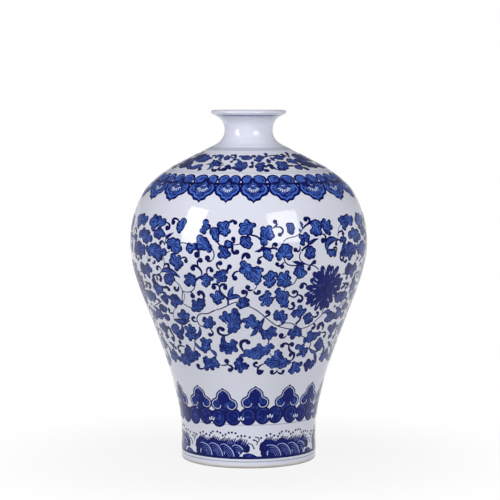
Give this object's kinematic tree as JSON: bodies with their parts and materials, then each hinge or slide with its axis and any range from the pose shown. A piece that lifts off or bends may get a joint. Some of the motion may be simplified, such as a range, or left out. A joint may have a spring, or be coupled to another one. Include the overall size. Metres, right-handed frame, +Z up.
{
  "type": "meiping vase",
  "caption": "Tall porcelain flower vase with high round shoulders, a short narrow neck with a flared mouth, a tapering body and a recessed foot ring; stands upright and holds water and stems.",
  "frame": {"origin": "middle of the foot ring's flat underside", "axes": "+Z up along the axis of the wheel, -Y towards the picture's viewer, +X to that viewer's right"},
  "size_m": [0.217, 0.217, 0.32],
  "materials": {
    "bare_porcelain": "fired, unglazed, fine-grained",
    "slip": "fired liquid clay",
    "painted_glaze": "glossy clear glaze over cobalt blue painting",
    "clear_glaze": "glossy, bluish white"
  },
  "bodies": {
    "root": {"base_and_foot": "bare_porcelain", "lower_body": "bare_porcelain", "upper_body": "bare_porcelain", "neck_and_mouth": "bare_porcelain", "base_seam": "slip", "belly_seam": "slip", "neck_seam": "slip", "outer_glaze": "painted_glaze", "inner_glaze": "clear_glaze", "underside_glaze": "clear_glaze"}
  },
  "joints": []
}
